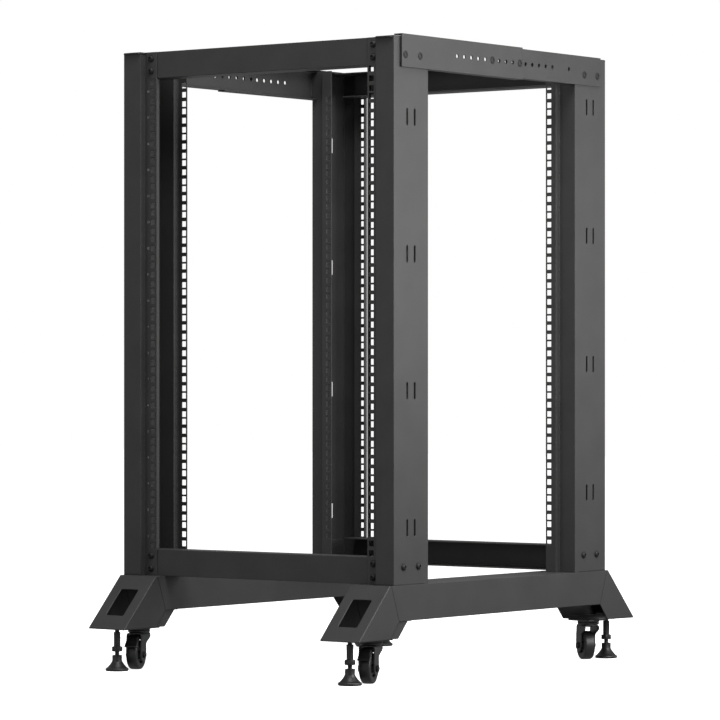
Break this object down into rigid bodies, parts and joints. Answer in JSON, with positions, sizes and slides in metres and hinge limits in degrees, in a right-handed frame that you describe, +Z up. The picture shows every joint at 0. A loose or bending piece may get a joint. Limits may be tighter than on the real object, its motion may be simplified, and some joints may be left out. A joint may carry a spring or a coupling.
{
  "type": "open frame server rack",
  "caption": "Open four post server rack in black powder-coated steel, with slotted posts, sloped feet, swivel casters and levelling feet.",
  "frame": {"origin": "on the floor, under the middle of the rack", "axes": "+Z up, -Y is the front of the rack, +X is its right-hand side seen from the front"},
  "size_m": [0.582, 0.799, 1.051],
  "materials": {
    "powder_coat": "fine textured black powder coat",
    "caster_steel": "dark plated pressed steel",
    "bolt_zinc": "zinc plated",
    "leveller_zinc": "zinc plated stem on a dark pad",
    "wheel_black": "hard black tread",
    "shield_black": "matt black"
  },
  "bodies": {
    "rack": {"post_front_right": "powder_coat", "post_front_left": "powder_coat", "post_rear_left": "powder_coat", "post_rear_right": "powder_coat", "beam_front_top": "powder_coat", "beam_front_bottom": "powder_coat", "beam_rear_top": "powder_coat", "beam_rear_bottom": "powder_coat", "side_rail_right_outer": "powder_coat", "side_rail_right_inner": "powder_coat", "side_rail_left_outer": "powder_coat", "side_rail_left_inner": "powder_coat", "base_beam_right": "powder_coat", "base_beam_left": "powder_coat", "foot_front_right": "powder_coat", "foot_bracket_front_right": "powder_coat", "caster_plate_front_right": "caster_steel", "foot_front_left": "powder_coat", "foot_bracket_front_left": "powder_coat", "caster_plate_front_left": "caster_steel", "foot_rear_left": "powder_coat", "foot_bracket_rear_left": "powder_coat", "caster_plate_rear_left": "caster_steel", "foot_rear_right": "powder_coat", "foot_bracket_rear_right": "powder_coat", "caster_plate_rear_right": "caster_steel"},
    "leveller_body_front_right": {"leveller_front_right": "leveller_zinc"},
    "swivel_front_right": {"caster_fork_front_right": "caster_steel", "caster_axle_front_right": "bolt_zinc", "caster_shield_front_right": "shield_black"},
    "roll_front_right": {"caster_wheel_front_right": "wheel_black"},
    "leveller_body_front_left": {"leveller_front_left": "leveller_zinc"},
    "swivel_front_left": {"caster_fork_front_left": "caster_steel", "caster_axle_front_left": "bolt_zinc", "caster_shield_front_left": "shield_black"},
    "roll_front_left": {"caster_wheel_front_left": "wheel_black"},
    "leveller_body_rear_left": {"leveller_rear_left": "leveller_zinc"},
    "swivel_rear_left": {"caster_fork_rear_left": "caster_steel", "caster_axle_rear_left": "bolt_zinc"},
    "roll_rear_left": {"caster_wheel_rear_left": "wheel_black"},
    "leveller_body_rear_right": {"leveller_rear_right": "leveller_zinc"},
    "swivel_rear_right": {"caster_fork_rear_right": "caster_steel", "caster_axle_rear_right": "bolt_zinc"},
    "roll_rear_right": {"caster_wheel_rear_right": "wheel_black"}
  },
  "joints": [
    {"name": "swivel_turn_front_right", "type": "hinge", "parent": "rack", "child": "swivel_front_right", "pos_m": [0.247, -0.315, 0.064], "axis": [0, 0, 1], "continuous": true},
    {"name": "wheel_roll_front_right", "type": "hinge", "parent": "swivel_front_right", "child": "roll_front_right", "pos_m": [0.25128, -0.32728, 0.025], "axis": [-0.9444, -0.3289, 0], "continuous": true},
    {"name": "leveller_screw_front_right", "type": "slide", "parent": "rack", "child": "leveller_body_front_right", "axis": [0, 0, 1], "range_m": [-0.014, 0.006]},
    {"name": "swivel_turn_front_left", "type": "hinge", "parent": "rack", "child": "swivel_front_left", "pos_m": [-0.247, -0.315, 0.064], "axis": [0, 0, 1], "continuous": true},
    {"name": "wheel_roll_front_left", "type": "hinge", "parent": "swivel_front_left", "child": "roll_front_left", "pos_m": [-0.24272, -0.32728, 0.025], "axis": [-0.9444, -0.3289, 0], "continuous": true},
    {"name": "leveller_screw_front_left", "type": "slide", "parent": "rack", "child": "leveller_body_front_left", "axis": [0, 0, 1], "range_m": [-0.014, 0.006]},
    {"name": "swivel_turn_rear_left", "type": "hinge", "parent": "rack", "child": "swivel_rear_left", "pos_m": [-0.247, 0.315, 0.064], "axis": [0, 0, 1], "continuous": true},
    {"name": "wheel_roll_rear_left", "type": "hinge", "parent": "swivel_rear_left", "child": "roll_rear_left", "pos_m": [-0.25756, 0.32259, 0.025], "axis": [0.5835, 0.8121, 0], "continuous": true},
    {"name": "leveller_screw_rear_left", "type": "slide", "parent": "rack", "child": "leveller_body_rear_left", "axis": [0, 0, 1], "range_m": [-0.014, 0.006]},
    {"name": "swivel_turn_rear_right", "type": "hinge", "parent": "rack", "child": "swivel_rear_right", "pos_m": [0.247, 0.315, 0.064], "axis": [0, 0, 1], "continuous": true},
    {"name": "wheel_roll_rear_right", "type": "hinge", "parent": "swivel_rear_right", "child": "roll_rear_right", "pos_m": [0.23644, 0.32259, 0.025], "axis": [0.5835, 0.8121, 0], "continuous": true},
    {"name": "leveller_screw_rear_right", "type": "slide", "parent": "rack", "child": "leveller_body_rear_right", "axis": [0, 0, 1], "range_m": [-0.014, 0.006]}
  ]
}
